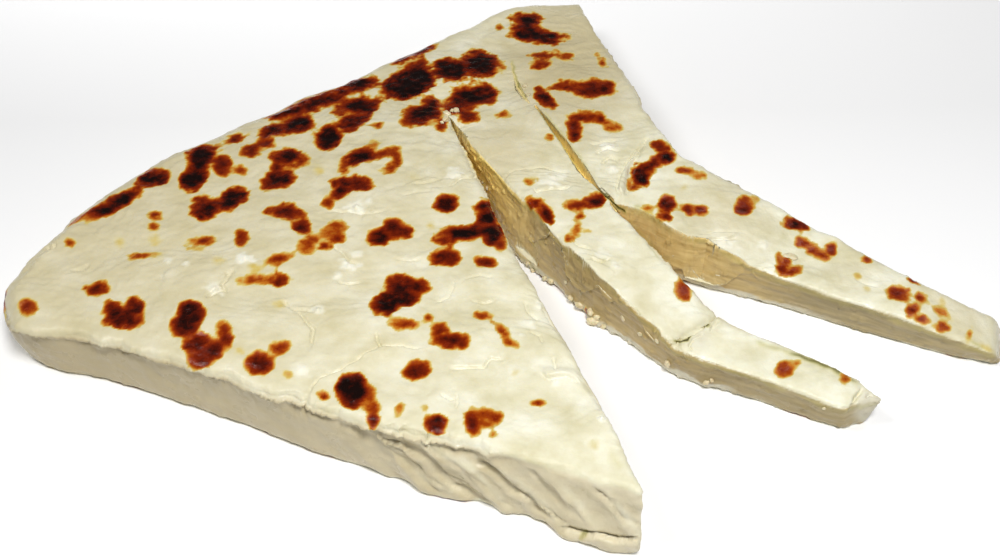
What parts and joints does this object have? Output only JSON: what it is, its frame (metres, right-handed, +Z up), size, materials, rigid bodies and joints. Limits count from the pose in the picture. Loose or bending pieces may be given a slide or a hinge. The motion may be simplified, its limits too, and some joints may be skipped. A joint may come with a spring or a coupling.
{
  "type": "bread cheese",
  "caption": "Wedge of a flat round baked bread cheese with browned spots; strips cut from one side still hang on at the rim and splay outwards",
  "frame": {"origin": "middle of the bounding box of the underside, on the surface that the cheese rests on", "axes": "+Z up; -Y towards the tip of the wedge, which was the middle of the round cheese; +Y towards its rim; +X towards the side where the strips splay out"},
  "size_m": [0.1893, 0.1572, 0.0143],
  "materials": {
    "cheese": null
  },
  "bodies": {
    "root": {"bread_cheese": "cheese"}
  },
  "joints": []
}
